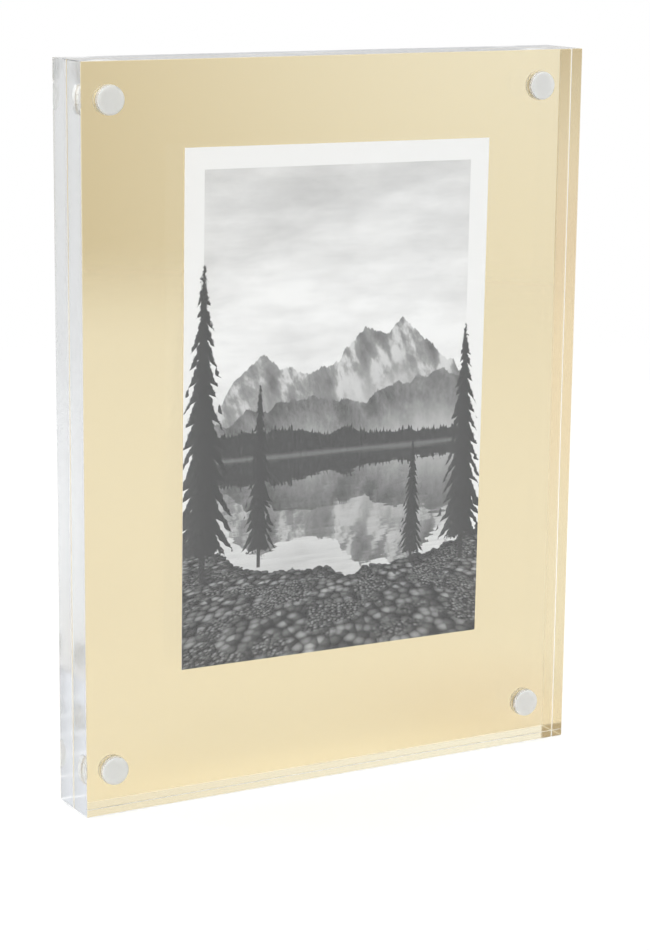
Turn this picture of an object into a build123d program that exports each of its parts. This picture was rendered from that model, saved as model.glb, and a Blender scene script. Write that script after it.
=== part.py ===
"""Acrylic block frame: two clear slabs that corner magnets hold together round a gold sheet and a print.

X runs to the right as seen from the front, the front faces -Y and Z is up. The origin is at the bottom centre of
the closed frame. All sizes are in millimetres and all angles in degrees.
"""

import os

from build123d import *

# The two slabs, cut from cast acrylic sheet and polished all round, with only their outer edges broken
BLOCK_WIDTH = 165.1
BLOCK_HEIGHT = 215.9
BLOCK_DEPTH = 9.1
EDGE_CHAMFER = 0.15

# The mirror-gold sheet on the rear slab's inner face, cut flush with the slabs
SHEET_THICKNESS = 0.2

# The print, laid in by hand: a little right of centre, above it and turned clockwise
PRINT_WIDTH = 101.6
PRINT_HEIGHT = 152.4
PRINT_THICKNESS = 0.24
PRINT_SHIFT_RIGHT = 2.1
PRINT_SHIFT_UP = 6.1
PRINT_TURN_CLOCKWISE = 0.5

# The air film on each side of the sheet and of the print
AIR_FILM = 0.05

# The disc magnets, one at each corner of each slab's inner face
MAGNET_DIAMETER = 8.0
MAGNET_THICKNESS = 2.0
MAGNET_RIM_CHAMFER = 0.4
MAGNET_EDGE_DISTANCE = 11.1
MAGNET_RECESS = 0.1
MAGNET_SIDE_CLEARANCE = 0.15
MAGNET_GLUE = 0.1

# What follows from these sizes
GAP = 3 * AIR_FILM + SHEET_THICKNESS + PRINT_THICKNESS
MID_HEIGHT = BLOCK_HEIGHT / 2
MAGNET_SPAN_X = BLOCK_WIDTH - 2 * MAGNET_EDGE_DISTANCE
MAGNET_SPAN_Z = BLOCK_HEIGHT - 2 * MAGNET_EDGE_DISTANCE
BORE_DIAMETER = MAGNET_DIAMETER + 2 * MAGNET_SIDE_CLEARANCE
BORE_DEPTH = MAGNET_RECESS + MAGNET_THICKNESS + MAGNET_GLUE

# Directions along Y
FRONT = -1
REAR = 1

# Corners as seen from the front: side along X, level along Z
CORNERS = {
    "top_left": (-1, 1),
    "top_right": (1, 1),
    "bottom_left": (-1, -1),
    "bottom_right": (1, -1),
}


def upright_plane(x, y, z, towards):
    """Upright plane through (x, y, z) whose normal points to the front or to the rear."""
    return Plane(origin=(x, y, z), x_dir=(1, 0, 0), z_dir=(0, towards, 0))


def inner_face(towards):
    """Plane of a slab's inner face: half the gap from the middle, looking into the slab."""
    return upright_plane(0, towards * GAP / 2, MID_HEIGHT, towards)


def acrylic_block(towards):
    """Slab with its outer edges broken, and a blind bore for a magnet near each corner of its inner face."""
    face = inner_face(towards)
    with BuildPart() as block:
        with BuildSketch(face):
            Rectangle(BLOCK_WIDTH, BLOCK_HEIGHT)
        extrude(amount=BLOCK_DEPTH)
        outer_face = block.faces().filter_by(Axis.Y).sort_by(Axis.Y)[0 if towards == FRONT else -1]
        chamfer(outer_face.edges() + block.edges().filter_by(Axis.Y), EDGE_CHAMFER)
        with BuildSketch(face):
            with GridLocations(MAGNET_SPAN_X, MAGNET_SPAN_Z, 2, 2):
                Circle(BORE_DIAMETER / 2)
        extrude(amount=BORE_DEPTH, mode=Mode.SUBTRACT)
    return block.part


def disc_magnet(towards, side, level):
    """Disc with bevelled rims, its face just below the slab's inner face and glue between it and the bore's floor."""
    x = side * MAGNET_SPAN_X / 2
    z = MID_HEIGHT + level * MAGNET_SPAN_Z / 2
    with BuildPart() as magnet:
        with BuildSketch(upright_plane(x, towards * (GAP / 2 + MAGNET_RECESS), z, towards)):
            Circle(MAGNET_DIAMETER / 2)
        extrude(amount=MAGNET_THICKNESS)
        chamfer(magnet.edges().filter_by(GeomType.CIRCLE), MAGNET_RIM_CHAMFER)
    return magnet.part


def gold_sheet():
    """Thin sheet as wide and as high as the slabs, one air film in front of the rear one."""
    with BuildPart() as sheet:
        with BuildSketch(upright_plane(0, GAP / 2 - AIR_FILM, MID_HEIGHT, FRONT)):
            Rectangle(BLOCK_WIDTH, BLOCK_HEIGHT)
        extrude(amount=SHEET_THICKNESS)
    return sheet.part


def photo_print():
    """Print one air film in front of the sheet, and one behind the front slab."""
    back = GAP / 2 - 2 * AIR_FILM - SHEET_THICKNESS
    with BuildPart() as paper:
        with BuildSketch(upright_plane(PRINT_SHIFT_RIGHT, back, MID_HEIGHT + PRINT_SHIFT_UP, FRONT)):
            Rectangle(PRINT_WIDTH, PRINT_HEIGHT, rotation=-PRINT_TURN_CLOCKWISE)
        extrude(amount=PRINT_THICKNESS)
    return paper.part


pieces = {
    "front_block": acrylic_block(FRONT),
    "rear_block": acrylic_block(REAR),
    "gold_sheet": gold_sheet(),
    "photo_print": photo_print(),
}
for corner, (side, level) in CORNERS.items():
    pieces[f"front_magnet_{corner}"] = disc_magnet(FRONT, side, level)
    pieces[f"rear_magnet_{corner}"] = disc_magnet(REAR, side, level)

os.makedirs("parts", exist_ok=True)
for name, piece in pieces.items():
    piece.label = name
    export_step(piece, f"parts/{name}.step")
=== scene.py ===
"""Acrylic block frame in a white studio: two clear slabs, a gold mirror sheet, a print and eight magnets.

The slabs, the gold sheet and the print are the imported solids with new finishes. The magnets are turned
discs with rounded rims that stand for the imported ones. All lengths are in metres.
"""
import math

import bpy
import numpy as np
from mathutils import Matrix, Vector


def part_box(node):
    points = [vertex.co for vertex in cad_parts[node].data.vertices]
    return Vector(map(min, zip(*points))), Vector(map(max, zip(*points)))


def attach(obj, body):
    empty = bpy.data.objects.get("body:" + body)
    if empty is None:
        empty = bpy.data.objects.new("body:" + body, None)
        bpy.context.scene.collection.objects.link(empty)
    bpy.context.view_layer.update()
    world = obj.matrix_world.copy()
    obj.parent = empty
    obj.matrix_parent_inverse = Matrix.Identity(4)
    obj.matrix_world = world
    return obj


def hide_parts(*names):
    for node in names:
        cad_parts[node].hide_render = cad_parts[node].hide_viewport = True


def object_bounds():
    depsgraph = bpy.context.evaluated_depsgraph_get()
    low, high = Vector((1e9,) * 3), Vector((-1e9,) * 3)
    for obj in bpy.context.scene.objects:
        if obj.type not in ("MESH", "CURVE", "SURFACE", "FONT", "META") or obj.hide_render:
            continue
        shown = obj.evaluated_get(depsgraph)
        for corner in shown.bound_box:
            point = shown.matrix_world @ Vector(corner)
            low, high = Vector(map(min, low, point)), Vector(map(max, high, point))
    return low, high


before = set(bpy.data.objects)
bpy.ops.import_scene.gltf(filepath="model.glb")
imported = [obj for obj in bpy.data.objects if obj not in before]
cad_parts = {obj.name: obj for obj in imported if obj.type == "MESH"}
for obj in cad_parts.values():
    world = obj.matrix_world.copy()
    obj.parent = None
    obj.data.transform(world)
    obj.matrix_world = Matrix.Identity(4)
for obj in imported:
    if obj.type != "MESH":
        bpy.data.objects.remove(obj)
cad_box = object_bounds()
scene = bpy.context.scene

MM = 0.001

# The camera stands a little above the frame and left of it, and is turned by a trace of roll.
CAMERA_PLACE = Vector((-0.38740, -0.67990, 0.26492))
CAMERA_LOOKS = Vector((0.48366, 0.84796, -0.21688))
CAMERA_RIGHT = Vector((0.86973, -0.49342, 0.01040))
CAMERA_LENS = 101.74

# The print lies off the middle of the frame and a little turned. The picture has a white border.
PRINT_CENTRE = Vector((2.1 * MM, 0.0, 114.05 * MM))
PRINT_TURN = math.radians(0.5)
PRINT_WIDTH = 101.6 * MM
PRINT_HEIGHT = 152.4 * MM
PRINT_BORDER = 6.3 * MM
PICTURE_WIDTH = PRINT_WIDTH - 2 * PRINT_BORDER
PICTURE_HEIGHT = PRINT_HEIGHT - 2 * PRINT_BORDER
PICTURE_EDGE = 0.05 * MM

# The view on the print is measured in widths of the picture, across from its middle and up from its lower
# edge: the height of the far shore, and for each pine its stand, foot, height, spread and seed.
SHORE = 0.615
PINES = (
    (-0.29, 0.25, 0.62, 0.15, 3.0),
    (0.30, 0.20, 0.44, 0.17, 21.0),
    (-0.50, 0.22, 1.05, 0.17, 11.0),
    (0.50, 0.20, 0.82, 0.18, 5.0),
)

# The acrylic's roughness on its faces, on its ends and in its bores, and its tint. Its body lets the last
# colour pass and takes up the rest by its density, so that a long way through it is a little darker.
FACE_POLISH = 0.004
END_HAZE = 0.10
BORE_FROST = 0.75
ACRYLIC_IOR = 1.49
ACRYLIC_TINT = (0.985, 0.992, 0.990, 1.0)
ACRYLIC_DENSITY = 1.25
ACRYLIC_BODY = (0.0, 0.05, 0.10, 1.0)

# A little more than a bore's radius and its depth from the middle of the frame, each with a soft edge.
BORE_REACH = (4.4 * MM, 4.3 * MM)
BORE_DEPTH = (3.4 * MM, 3.0 * MM)

# The rounding of a magnet's rims, and how far from the middle of the frame its nickel is bare.
MAGNET_RIM = 0.45 * MM
MAGNET_BARE = (0.55 * MM, 0.45 * MM)

# Colours of the gold film and its cut edges, of the magnets' plating and adhesive, and of the paper. The
# adhesive is lighter at its rim than in its middle: a painted highlight that also lifts each magnet's shaded
# wall.
GOLD = (0.855, 0.735, 0.485)
FILM_CORE = (0.80, 0.82, 0.76)
NICKEL = (0.78, 0.77, 0.75)
ADHESIVE_MIDDLE = (0.85, 0.845, 0.82)
ADHESIVE_RIM_HIGHLIGHT = (0.95, 0.95, 0.94)
PAPER_WHITE = 0.94

# The dome is white but for these patches: azimuth from straight ahead, elevation, and the angles where each
# starts to clear and is clear, all in degrees, and its colour. The mirror and the slabs' ends show them.
DOME_PATCHES = (
    (8.0, -10.0, 9.0, 26.0, (0.64, 0.57, 0.43)),
    (-30.0, 11.0, 13.0, 19.0, (0.56, 0.48, 0.35)),
    (-34.0, -11.0, 3.0, 7.0, (0.92, 0.82, 0.78)),
    (150.0, 13.0, 6.0, 11.0, (0.68, 0.70, 0.75)),
    (42.0, 13.0, 6.0, 24.0, (1.15, 1.24, 1.45)),
)

# Soft lamps that face the middle of the frame: place, width and height, power in watts, spread in degrees.
SOFTBOXES = {
    "softbox_above": ((0.0, 0.05, 1.70), (2.2, 2.2), 11.0, 180.0),
    "softbox_left": ((-1.35, -0.3, 1.15), (0.9, 0.9), 2.0, 120.0),
}
LAMPS_FACE = Vector((0.0, 0.0, 0.11))

# The floor lies a thin film of air below the slabs, which so keep their inner mirror at the base. It clears
# from the first to the second distance about its middle, which lies before the frame.
FLOOR_REACH = 1.3
FLOOR_SPOKES = 64
FLOOR_DROP = 0.2 * MM
FLOOR_MIDDLE = -0.25
FLOOR_CLEARS = (0.52, 1.03)

# The paper's tone at the frame, before it and behind it: it is lighter at the frame and behind it, painted
# light against the frame's own shadow.
# Where the frame mirrors it, a warm painted shade lies on the camera's side and, more faintly, at the
# frame's right front corner; the camera's own rays see the plain paper there.
FLOOR_NEAR_PAINTED_LIGHT = 0.91
FLOOR_FRONT = 0.81
FLOOR_REAR_PAINTED_LIGHT = 0.89
FLOOR_PAINTED_SHADE = (0.79, 0.75, 0.72)
FLOOR_CORNER = (0.095, -0.035)
FLOOR_CORNER_REACH = 0.085
FLOOR_CORNER_COVER = 0.7


class Wire:
    """A number that changes over a surface. Arithmetic on it adds the Math nodes that work it out."""

    def __init__(self, socket):
        self.socket = socket
        self.tree = socket.id_data

    def math(self, operation, *others):
        node = self.tree.nodes.new("ShaderNodeMath")
        node.operation = operation
        for slot, value in zip(node.inputs, (self, *others)):
            connect(value, slot)
        return Wire(node.outputs[0])

    def __add__(self, other):
        return self.math("ADD", other)

    def __radd__(self, other):
        return self.math("ADD", other)

    def __sub__(self, other):
        return self.math("SUBTRACT", other)

    def __rsub__(self, other):
        return self.math("MULTIPLY_ADD", -1.0, other)

    def __mul__(self, other):
        return self.math("MULTIPLY", other)

    def __rmul__(self, other):
        return self.math("MULTIPLY", other)

    def __truediv__(self, other):
        return self.math("DIVIDE", other)

    def __pow__(self, other):
        return self.math("POWER", other)

    def __abs__(self):
        return self.math("ABSOLUTE")


def connect(value, slot):
    """Lead a wire or a socket to a slot, or set the slot to a plain value."""
    if isinstance(value, Wire):
        value = value.socket
    if isinstance(value, bpy.types.NodeSocket):
        slot.id_data.links.new(value, slot)
    else:
        slot.default_value = value


def step(wire, low, high):
    """0 below low, 1 above high and a smooth S between; the other way round where high is the lower."""
    node = wire.tree.nodes.new("ShaderNodeMapRange")
    node.interpolation_type = "SMOOTHSTEP"
    for slot, value in zip(node.inputs, (wire, low, high, 0.0, 1.0)):
        connect(value, slot)
    return Wire(node.outputs[0])


def blend(below, above, cover):
    """Lay the value above over the value below, as far as cover, from 0 to 1."""
    return cover * (above - below) + below


def split(socket):
    """The three numbers of a vector."""
    node = socket.id_data.nodes.new("ShaderNodeSeparateXYZ")
    connect(socket, node.inputs[0])
    return [Wire(part) for part in node.outputs]


def join(tree, x, y, z):
    """A vector of three numbers."""
    node = tree.nodes.new("ShaderNodeCombineXYZ")
    for slot, value in zip(node.inputs, (x, y, z)):
        connect(value, slot)
    return node.outputs[0]


def noise(vector, scale, detail=2.0, roughness=0.5):
    """Noise from about 0 to 1 at each point of a vector."""
    node = vector.id_data.nodes.new("ShaderNodeTexNoise")
    connect(vector, node.inputs["Vector"])
    node.inputs["Scale"].default_value = scale
    node.inputs["Detail"].default_value = detail
    node.inputs["Roughness"].default_value = roughness
    return Wire(node.outputs["Fac"])


def skyline(wire, scale, seed, detail=5.0, roughness=0.5):
    """Noise from about 0 to 1 along a line."""
    node = wire.tree.nodes.new("ShaderNodeTexNoise")
    node.noise_dimensions = "1D"
    connect(wire + seed, node.inputs["W"])
    node.inputs["Scale"].default_value = scale
    node.inputs["Detail"].default_value = detail
    node.inputs["Roughness"].default_value = roughness
    return Wire(node.outputs["Fac"])


def grey(wire):
    """The same number as red, green and blue."""
    node = wire.tree.nodes.new("ShaderNodeCombineColor")
    for slot in node.inputs:
        connect(wire, slot)
    return node.outputs[0]


def tint(wire, low, high):
    """A colour from low to high as the wire goes from 0 to 1. Each end is three numbers or a socket."""
    node = wire.tree.nodes.new("ShaderNodeMix")
    node.data_type = "RGBA"
    connect(wire, node.inputs["Factor"])
    for slot, colour in ((node.inputs["A"], low), (node.inputs["B"], high)):
        connect((*colour, 1.0) if isinstance(colour, tuple) else colour, slot)
    return node.outputs["Result"]


def bump(height, distance):
    """A shading normal from a height between 0 and 1, where 1 stands for the distance."""
    node = height.tree.nodes.new("ShaderNodeBump")
    connect(height, node.inputs["Height"])
    node.inputs["Distance"].default_value = distance
    return node.outputs["Normal"]


def new_group(name, inputs, outputs):
    """An empty shader node group. Returns it, the sockets of its inputs and the sockets of its outputs."""
    group = bpy.data.node_groups.new(name, "ShaderNodeTree")
    for label, kind in inputs:
        group.interface.new_socket(label, in_out="INPUT", socket_type=kind)
    for label, kind in outputs:
        group.interface.new_socket(label, in_out="OUTPUT", socket_type=kind)
    start = group.nodes.new("NodeGroupInput")
    end = group.nodes.new("NodeGroupOutput")
    return group, start.outputs, end.inputs


def place_group(tree, group, **values):
    """Put a group into a tree, with its inputs set or wired by name. Returns its output sockets."""
    node = tree.nodes.new("ShaderNodeGroup")
    node.node_tree = group
    for label, value in values.items():
        connect(value, node.inputs[label])
    return node.outputs


def new_material(name):
    """A Principled material. Returns it, its tree, its shader and a node with its coordinates."""
    material = bpy.data.materials.new(name)
    material.use_nodes = True
    tree = material.node_tree
    shader = tree.nodes["Principled BSDF"]
    place = tree.nodes.new("ShaderNodeTexCoord")
    return material, tree, shader, place


def make_handling_group():
    """Faint marks of handling: broad soft smears, fine dust specks and a slow drift, each from 0 to 1."""
    group, start, end = new_group(
        "handling",
        [("Point", "NodeSocketVector")],
        [("Smear", "NodeSocketFloat"), ("Speck", "NodeSocketFloat"), ("Drift", "NodeSocketFloat")],
    )
    point = start["Point"]
    smear = step(noise(point, 24.0, 3.0, 0.7), 0.48, 0.75)
    connect(smear, end["Smear"])
    speck = step(noise(point, 900.0, 0.0), 0.70, 0.80)
    connect(speck, end["Speck"])
    connect(noise(point, 9.0, 0.0), end["Drift"])
    return group


HANDLING = make_handling_group()


def make_acrylic():
    """Clear cast acrylic: polished faces with faint smears, and slightly milky ends with fine streaks."""
    material, tree, shader, place = new_material("clear_acrylic_polished")
    marks = place_group(tree, HANDLING, Point=place.outputs["Object"])
    facing = split(place.outputs["Normal"])
    edge = step(abs(facing[1]), 0.9, 0.5)
    x, y, z = split(place.outputs["Object"])
    streaks = noise(join(tree, 0.0, y * 2400.0, (x + z) * 60.0), 1.0, 1.0)
    smear = Wire(marks["Smear"])

    # The bores are left as the cutter made them, so their walls and floors are frosted, with fine rings.
    low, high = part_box("front_magnet_top_right")
    middle = (cad_box[0].z + cad_box[1].z) / 2
    axis_x = (low.x + high.x) / 2
    axis_z = (low.z + high.z) / 2 - middle
    off_x = abs(x) - axis_x
    off_z = abs(z - middle) - axis_z
    out = (off_x * off_x + off_z * off_z).math("SQRT")
    bore = step(out, *BORE_REACH) * step(abs(y), *BORE_DEPTH)
    rings = skyline(out / MM, 5.0, 2.0, 0.0)

    polished = FACE_POLISH + smear * 0.010 + edge * (END_HAZE + smear * 0.05)
    connect(blend(polished, BORE_FROST, bore), shader.inputs["Roughness"])
    connect(bump(blend(edge * streaks, rings * 2.0, bore), 0.004 * MM), shader.inputs["Normal"])
    shader.inputs["Base Color"].default_value = ACRYLIC_TINT
    shader.inputs["Transmission Weight"].default_value = 1.0
    shader.inputs["IOR"].default_value = ACRYLIC_IOR
    body = tree.nodes.new("ShaderNodeVolumeAbsorption")
    body.inputs["Color"].default_value = ACRYLIC_BODY
    body.inputs["Density"].default_value = ACRYLIC_DENSITY
    tree.links.new(body.outputs[0], tree.nodes["Material Output"].inputs["Volume"])
    return material


def make_gold():
    """Gold mirror film: a smooth warm metal with a slow ripple, a trace of drift and pale cut edges."""
    material, tree, shader, place = new_material("gold_mirror_film")
    marks = place_group(tree, HANDLING, Point=place.outputs["Object"])
    drift = Wire(marks["Drift"])
    smear = Wire(marks["Smear"])
    low = tuple(c * 0.985 for c in GOLD)
    high = tuple(c * 1.015 for c in GOLD)
    mirror = step(abs(split(place.outputs["Normal"])[1]), 0.4, 0.6)
    connect(tint(mirror, FILM_CORE, tint(drift, low, high)), shader.inputs["Base Color"])
    connect(blend(0.5, 0.03 + smear * 0.03, mirror), shader.inputs["Roughness"])
    connect(bump(drift, 0.05 * MM), shader.inputs["Normal"])
    connect(mirror, shader.inputs["Metallic"])
    return material


def make_nickel():
    """Disc magnet: turned nickel on the open face, and a pale film of adhesive where it sits in its bore,
    with a painted highlight at its rim.
    """
    material, tree, shader, place = new_material("nickel_turned")
    marks = place_group(tree, HANDLING, Point=place.outputs["Object"])
    rings = tree.nodes.new("ShaderNodeUVMap")
    rings.uv_map = "turning"
    _, out, _ = split(rings.outputs["UV"])
    _, deep, _ = split(place.outputs["Object"])
    ring = skyline(out, 60.0, 3.0, 3.0)
    speck = Wire(marks["Speck"])
    bare = step(abs(deep), *MAGNET_BARE)
    # Painted highlight: the adhesive turns lighter towards the rim and over the wall.
    rim = step(out, 0.72, 0.86)
    drift = noise(place.outputs["Object"], 500.0, 2.0)
    film = tint(blend(ring * 0.3 + drift * 0.3, 1.0, rim), ADHESIVE_MIDDLE, ADHESIVE_RIM_HIGHLIGHT)
    plate = tint(ring, tuple(c * 0.9 for c in NICKEL), NICKEL)
    connect(tint(bare, film, plate), shader.inputs["Base Color"])
    connect(bare, shader.inputs["Metallic"])
    connect(blend(0.45, 0.28 + ring * 0.10 + speck * 0.1, bare), shader.inputs["Roughness"])
    connect(bump(ring, 0.006 * MM), shader.inputs["Normal"])
    along = tree.nodes.new("ShaderNodeTangent")
    along.direction_type = "UV_MAP"
    along.uv_map = "turning"
    connect(along.outputs[0], shader.inputs["Tangent"])
    shader.inputs["Anisotropic"].default_value = 0.5
    return material


def relief(tree, x, y, scale, seed):
    """Light and shade of a rough slope lit from the left: the rise of the noise over a short step aside."""
    here = noise(join(tree, x, y, seed), scale, 7.0, 0.6)
    beside = noise(join(tree, x + 0.30 / scale, y - 0.15 / scale, seed), scale, 7.0, 0.6)
    return here - beside


def make_hills_group():
    """Sky and hills of a lake view, as a tone from 0 to 1.

    Across runs from -0.5 to 0.5 of the picture's width and Up is in the same unit. Three skylines of noise
    along a line stand one before the other, each darker than the one behind and fading to mist at its foot.
    """
    group, start, end = new_group(
        "lake_hills",
        [("Across", "NodeSocketFloat"), ("Up", "NodeSocketFloat")],
        [("Tone", "NodeSocketFloat")],
    )
    across = Wire(start["Across"])
    up = Wire(start["Up"])
    cloud = noise(join(group, across, up * 2.4, 0.0), 2.4, 7.0, 0.58)
    wisp = noise(join(group, across * 2.0 + cloud * 0.6, up * 9.0, 5.0), 1.6, 5.0, 0.6)
    tone = 0.97 - step(up, 1.0, 1.6) * 0.10 + (cloud - 0.5) * 0.30 + (wisp - 0.5) * 0.16

    peak = 1.03 - abs(across - 0.10) * 0.42 + (skyline(across, 3.1, 4.7, 8.0, 0.55) - 0.5) * 0.34
    fall = peak - up
    rock = relief(group, across + up * 0.30, up * 0.55, 9.0, 2.0)
    snow = step(rock, -0.02, 0.10) * step(fall, 0.30, 0.05)
    far = blend(0.60 + rock * 0.9, 0.90, snow * 0.8)
    far = blend(far, 0.92, step(fall, 0.06, 0.36) * 0.85)
    tone = blend(tone, far, step(fall, -0.003, 0.003))

    middle = 0.80 + across * 0.10 + (skyline(across, 4.0, 1.3, 7.0, 0.5) - 0.5) * 0.22
    trees = abs(skyline(across, 150.0, 12.0, 1.0) - 0.5)
    fall = middle + trees * 0.020 - up
    wood = noise(join(group, across * 75.0, up * 34.0, 0.0), 1.0, 4.0, 0.65)
    folds = relief(group, across + up * 0.5, up * 0.6, 6.0, 8.0)
    hill = 0.43 + (wood - 0.5) * 0.30 + folds * 0.8
    hill = blend(hill, 0.86, step(fall, 0.02, 0.20) * 0.75)
    tone = blend(tone, hill, step(fall, -0.002, 0.002))

    trees = abs(skyline(across, 80.0, 8.0, 2.0) - 0.5)
    shore = 0.680 - across * 0.06 + (skyline(across, 5.0, 6.1, 5.0) - 0.5) * 0.10 + trees * 0.075
    wood = noise(join(group, across * 130.0, up * 36.0, 0.0), 1.0, 5.0, 0.65)
    wall = 0.22 + (wood - 0.5) * 0.42
    wall = blend(wall, 0.60, step(up, SHORE + 0.017, SHORE) * 0.6)
    tone = blend(tone, wall, step(up, shore + 0.002, shore - 0.002))
    connect(tone, end["Tone"])
    return group


def make_pine_group():
    """A pine as a mask from 0 to 1.

    Its half width falls from the foot to the tip, and saw teeth along the height and noise at the edge make
    the boughs. Stand and Foot place it, Height and Spread give its size, and Seed makes each tree its own.
    """
    names = ("Across", "Up", "Stand", "Foot", "Height", "Spread", "Seed")
    group, start, end = new_group(
        "lake_pine",
        [(name, "NodeSocketFloat") for name in names],
        [("Mask", "NodeSocketFloat")],
    )
    across, up, stand, foot, height, spread, seed = (Wire(start[name]) for name in names)
    level = (up - foot) / height
    aside = (across - stand) / height
    ragged = noise(join(group, aside * 60.0, level * 60.0, seed), 1.0, 3.0, 0.6)
    sway = skyline(level * 14.0 + step(aside, -0.004, 0.004) * 7.3, 1.0, seed, 2.0)
    tooth = (level * 17.0 + sway * 1.6 + abs(aside) * 16.0).math("FRACT")
    taper = (1.0 - level).math("MAXIMUM", 0.0) ** 0.85
    reach = spread * taper * (0.45 + sway * 0.55) * (1.0 - tooth * 0.55) + (ragged - 0.5) * 0.035
    hem = 0.03 + ragged * 0.10
    boughs = step(abs(aside), reach + 0.004, reach - 0.004) * step(level, hem, hem + 0.01)
    trunk = step(abs(aside), 0.012, 0.008) * step(level, 0.97, 0.9)
    mask = boughs.math("MAXIMUM", trunk) * step(level, -0.01, 0.0) * step(level, 1.0, 0.99)
    connect(mask, end["Mask"])
    return group


def pebbles(tree, x, y, scale):
    """Tone of stones on flat ground lit from the left: each has its own shade and darkens to its rim."""
    node = tree.nodes.new("ShaderNodeTexVoronoi")
    node.voronoi_dimensions = "2D"
    connect(join(tree, x, y, 0.0), node.inputs["Vector"])
    node.inputs["Scale"].default_value = scale
    middle = split(node.outputs["Position"])
    shade = split(node.outputs["Color"])[0]
    out = Wire(node.outputs["Distance"])
    return (0.20 + shade * 0.48) * (1.0 - out * out * 1.5) + (middle[0] - x) * (scale * 0.22)


def make_print():
    """Photo paper: a black and white lake view, whose pines and stony bank stand over its white border."""
    material, tree, shader, place = new_material("photo_paper_print")
    turned = tree.nodes.new("ShaderNodeMapping")
    turned.vector_type = "TEXTURE"
    turned.inputs["Location"].default_value = PRINT_CENTRE
    turned.inputs["Rotation"].default_value = (0.0, PRINT_TURN, 0.0)
    connect(place.outputs["Object"], turned.inputs["Vector"])
    x, _, z = split(turned.outputs["Vector"])
    across = x / PICTURE_WIDTH
    up = (z + PICTURE_HEIGHT / 2) / PICTURE_WIDTH

    hills = make_hills_group()
    pine = make_pine_group()
    view = Wire(place_group(tree, hills, Across=across, Up=up)["Tone"])

    depth = (SHORE - up).math("MAXIMUM", 0.0)
    ripple = noise(join(tree, across * 5.0, up * 70.0, 0.0), 1.0, 3.0, 0.6) - 0.5
    swell = noise(join(tree, across * 1.5, up * 16.0, 4.0), 1.0, 2.0, 0.5) - 0.5
    mirrored = 2.0 * SHORE - up + ripple * (0.03 + depth * 0.20) + swell * depth * 0.12
    still = Wire(place_group(tree, hills, Across=across + ripple * 0.02, Up=mirrored)["Tone"])
    lake = still * 0.88 + 0.04 + ripple * 0.14 - depth * 0.10
    view = blend(view, lake, step(up, SHORE + 0.002, SHORE - 0.002))

    bank = 0.20 + across * across * 0.35 - across * 0.05 + (skyline(across, 5.0, 9.0, 4.0) - 0.5) * 0.12
    nearness = (0.66 - up) ** -1.0
    ground_x = across * nearness
    ground_y = nearness * 1.1
    stones = pebbles(tree, ground_x, ground_y, 17.0)
    gravel = pebbles(tree, ground_x, ground_y, 48.0)
    patch = noise(join(tree, ground_x, ground_y, 1.0), 3.0, 3.0)
    ground = blend(gravel, stones, step(patch, 0.44, 0.52)) * (0.55 + patch * 0.8)
    ground = ground * (1.0 - step(up, bank - 0.04, bank) * 0.4)
    edge = bank + stones * 0.014
    near = step(up, edge + 0.002, edge - 0.002)
    view = blend(view, ground, near)

    needles = noise(join(tree, across * 85.0, up * 60.0, 7.0), 1.0, 4.0, 0.65)
    for stand, foot, height, spread, seed in PINES:
        tree_shape = place_group(
            tree, pine, Across=across, Up=up,
            Stand=stand, Foot=foot, Height=height, Spread=spread, Seed=seed,
        )
        mask = Wire(tree_shape["Mask"])
        lit = step(across, stand + 0.05, stand - 0.08)
        view = blend(view, 0.08 + needles * (0.16 + lit * 0.20), mask)
        near = near.math("MAXIMUM", mask)

    grain = noise(place.outputs["Object"], 5200.0, 1.0)
    tone = (view + (grain - 0.5) * 0.10).math("MAXIMUM", 0.0).math("MINIMUM", 1.0)
    picture = (0.03 + tone * 0.95) ** 2.2
    inside_x = step(abs(x), PICTURE_WIDTH / 2 + PICTURE_EDGE, PICTURE_WIDTH / 2 - PICTURE_EDGE)
    inside_z = step(abs(z), PICTURE_HEIGHT / 2 + PICTURE_EDGE, PICTURE_HEIGHT / 2 - PICTURE_EDGE)
    front = step(split(place.outputs["Normal"])[1], -0.4, -0.6)
    fibre = noise(place.outputs["Object"], 700.0, 4.0, 0.6)
    paper = PAPER_WHITE - fibre * 0.03
    printed = (inside_x * inside_z).math("MAXIMUM", near) * front
    connect(grey(blend(paper, picture, printed)), shader.inputs["Base Color"])
    connect(0.34 + fibre * 0.12, shader.inputs["Roughness"])
    connect(bump(noise(place.outputs["Object"], 1800.0, 1.0), 0.01 * MM), shader.inputs["Normal"])
    shader.inputs["Specular IOR Level"].default_value = 0.4
    return material


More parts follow.
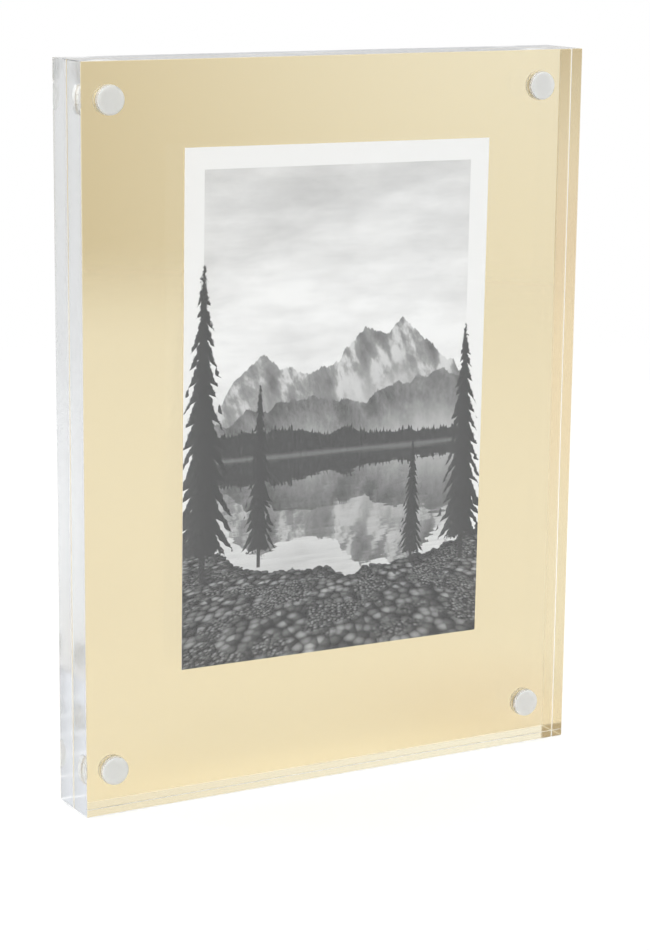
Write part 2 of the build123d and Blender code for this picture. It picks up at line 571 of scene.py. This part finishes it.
def turned_disc(name, low, high, rim, material):
    """A disc magnet about a line along Y.

    The profile runs from the middle of one face out to the rim, over a quarter circle, across the wall, over
    a second quarter circle and back to the middle of the other face. Each of its points is carried round a
    circle: x and z are its distance from the axis times the cosine and sine of the angle, y is its height.
    """
    radius = (high.x - low.x) / 2
    thick = high.y - low.y
    turn = np.linspace(0.0, math.pi / 2, 7)
    flat = np.linspace(0.0, radius - rim, 6)[1:-1]
    reach = np.concatenate((flat, radius - rim + rim * np.sin(turn)))
    rise = np.concatenate((np.zeros(flat.size), rim - rim * np.cos(turn)))
    reach = np.concatenate((reach, reach[::-1]))
    rise = np.concatenate((rise, thick - rise[::-1]))
    count = 96
    rows = reach.size
    angle = np.arange(count) * 2 * math.pi / count
    centre = (low + high) / 2
    grid = np.empty((rows, count, 3))
    grid[..., 0] = centre.x + reach[:, None] * np.cos(angle)
    grid[..., 1] = low.y + rise[:, None]
    grid[..., 2] = centre.z + reach[:, None] * np.sin(angle)
    poles = np.array(((centre.x, low.y, centre.z), (centre.x, high.y, centre.z)))
    points = np.concatenate((grid.reshape(-1, 3), poles))

    row = np.arange(rows - 1)[:, None] * count
    here = np.arange(count)
    after = (here + 1) % count
    below = row + count
    walls = np.stack((below + here, below + after, row + after, row + here), axis=-1).reshape(-1, 4)
    first = np.stack((here, after, np.full(count, rows * count)), axis=-1)
    last_row = (rows - 1) * count
    last = np.stack((last_row + after, last_row + here, np.full(count, rows * count + 1)), axis=-1)
    mesh = bpy.data.meshes.new(name)
    mesh.from_pydata(points.tolist(), [], walls.tolist() + first.tolist() + last.tolist())
    mesh.shade_smooth()

    # The map named turning runs round the disc in its first number and out from the axis in its second.
    corner = np.empty(len(mesh.loops), dtype=np.int32)
    mesh.loops.foreach_get("vertex_index", corner)
    place = points[corner]
    around = np.arctan2(place[:, 2] - centre.z, place[:, 0] - centre.x) / (2 * math.pi) + 0.5
    out = np.hypot(place[:, 0] - centre.x, place[:, 2] - centre.z) / radius
    turning = mesh.uv_layers.new(name="turning")
    turning.data.foreach_set("uv", np.stack((around, out), axis=-1).ravel().astype(np.float32))
    mesh.materials.append(material)
    disc = bpy.data.objects.new(name, mesh)
    scene.collection.objects.link(disc)
    return disc


def studio_floor():
    """A flat disc round the frame: rings at a distance and spokes at an angle, just below the base."""
    ring = np.linspace(0.0, FLOOR_REACH, 9)[1:]
    spoke = np.arange(FLOOR_SPOKES) * 2 * math.pi / FLOOR_SPOKES
    points = np.stack((
        np.outer(ring, np.cos(spoke)),
        np.outer(ring, np.sin(spoke)),
        np.full((ring.size, spoke.size), -FLOOR_DROP),
    ), axis=-1).reshape(-1, 3)
    row = np.arange(ring.size - 1)[:, None] * FLOOR_SPOKES
    outer = row + FLOOR_SPOKES
    here = np.arange(FLOOR_SPOKES)
    after = (here + 1) % FLOOR_SPOKES
    faces = np.stack((row + here, outer + here, outer + after, row + after), axis=-1).reshape(-1, 4)
    mesh = bpy.data.meshes.new("studio_floor")
    mesh.from_pydata(points.tolist(), [], faces.tolist() + [here.tolist()])

    material, tree, shader, place = new_material("studio_floor_paper")
    x, y, _ = split(place.outputs["Object"])
    ahead = y - FLOOR_MIDDLE
    near = (x * x + y * y).math("SQRT")
    away = (x * x + ahead * ahead).math("SQRT")
    speckle = noise(place.outputs["Object"], 400.0, 2.0)
    # Painted light: the paper is lighter at the frame and behind it, against the frame's own shadow.
    far = blend(FLOOR_FRONT, FLOOR_REAR_PAINTED_LIGHT, step(y, -0.10, 0.15))
    paper = blend(FLOOR_NEAR_PAINTED_LIGHT, far, step(near, 0.0, 0.22))
    # Painted shade: warm and darker on the camera's side and at the frame's right front corner, for all rays
    # but the camera's own, so that only the mirror shows it.
    beside = step(x, 0.10, -0.25) * step(y, -0.05, -0.40)
    corner_x = x - FLOOR_CORNER[0]
    corner_y = y - FLOOR_CORNER[1]
    corner = step((corner_x * corner_x + corner_y * corner_y).math("SQRT"), FLOOR_CORNER_REACH, 0.0)
    path = tree.nodes.new("ShaderNodeLightPath")
    mirrored = 1.0 - Wire(path.outputs["Is Camera Ray"])
    painted_shade = beside.math("MAXIMUM", corner * FLOOR_CORNER_COVER) * mirrored
    connect(tint(painted_shade, grey(paper + (speckle - 0.5) * 0.01), FLOOR_PAINTED_SHADE), shader.inputs["Base Color"])
    connect(1.0 - step(away, *FLOOR_CLEARS), shader.inputs["Alpha"])
    shader.inputs["Roughness"].default_value = 0.9
    shader.inputs["Specular IOR Level"].default_value = 0.0
    mesh.materials.append(material)
    floor = bpy.data.objects.new("studio_floor", mesh)
    scene.collection.objects.link(floor)


def clear_of_patch(direction, azimuth, elevation, inner, outer):
    """How clear the dome is of a patch, by the angle from its middle: 0 inside inner and 1 outside outer."""
    aim = direction.id_data.nodes.new("ShaderNodeVectorMath")
    aim.operation = "DOT_PRODUCT"
    connect(direction, aim.inputs[0])
    turn = math.radians(azimuth)
    rise = math.radians(elevation)
    aim.inputs[1].default_value = (
        math.cos(rise) * math.sin(turn),
        -math.cos(rise) * math.cos(turn),
        math.sin(rise),
    )
    apart = Wire(aim.outputs["Value"]).math("ARCCOSINE")
    return step(apart, math.radians(inner), math.radians(outer))


def studio_light():
    """A white dome with soft patches round the frame, and soft lamps above it and to its left."""
    world = bpy.data.worlds.new("studio_dome")
    world.use_nodes = True
    tree = world.node_tree
    place = tree.nodes.new("ShaderNodeTexCoord")
    colour = (1.0, 1.0, 1.0)
    for azimuth, elevation, inner, outer, shade in DOME_PATCHES:
        clear = clear_of_patch(place.outputs["Generated"], azimuth, elevation, inner, outer)
        colour = tint(clear, shade, colour)
    back = tree.nodes["Background"]
    connect(colour, back.inputs["Color"])
    back.inputs["Strength"].default_value = 1.0
    scene.world = world

    for name, values in SOFTBOXES.items():
        soft_lamp(name, *values)


def soft_lamp(name, place, size, power, spread):
    """A flat soft lamp that faces the middle of the frame."""
    lamp = bpy.data.lights.new(name, "AREA")
    lamp.shape = "RECTANGLE"
    lamp.size, lamp.size_y = size
    lamp.energy = power
    lamp.spread = math.radians(spread)
    box = bpy.data.objects.new(name, lamp)
    box.location = place
    towards = LAMPS_FACE - box.location
    box.rotation_euler = towards.to_track_quat("-Z", "Y").to_euler()
    scene.collection.objects.link(box)


def stand_camera():
    """The camera: its axes are the picture's right, the picture's up and the way back from the frame."""
    data = bpy.data.cameras.new("camera")
    data.lens = CAMERA_LENS
    data.sensor_width = 36.0
    data.clip_start = 0.01
    camera = bpy.data.objects.new("camera", data)
    back = -CAMERA_LOOKS.normalized()
    right = CAMERA_RIGHT.normalized()
    turn = Matrix((right, back.cross(right), back)).transposed()
    camera.matrix_world = Matrix.Translation(CAMERA_PLACE) @ turn.to_4x4()
    scene.collection.objects.link(camera)
    scene.camera = camera


def dress(node, material):
    """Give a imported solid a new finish."""
    for slot in bpy.data.objects[node].material_slots:
        slot.material = material


acrylic = make_acrylic()
nickel = make_nickel()
dress("front_block", acrylic)
dress("rear_block", acrylic)
dress("gold_sheet", make_gold())
dress("photo_print", make_print())
for side in ("front", "rear"):
    for corner in ("top_left", "top_right", "bottom_left", "bottom_right"):
        node = f"{side}_magnet_{corner}"
        magnet = turned_disc(f"{side}_disc_{corner}", *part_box(node), MAGNET_RIM, nickel)
        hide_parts(node)
        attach(magnet, side)

studio_floor()
studio_light()
stand_camera()

# Light meets many inner walls of the slabs before it leaves them, and isn't blurred on its way to the print.
scene.cycles.blur_glossy = 0.0
scene.cycles.max_bounces = 40
scene.cycles.glossy_bounces = 32
scene.cycles.transmission_bounces = 32
scene.view_settings.view_transform = "Standard"
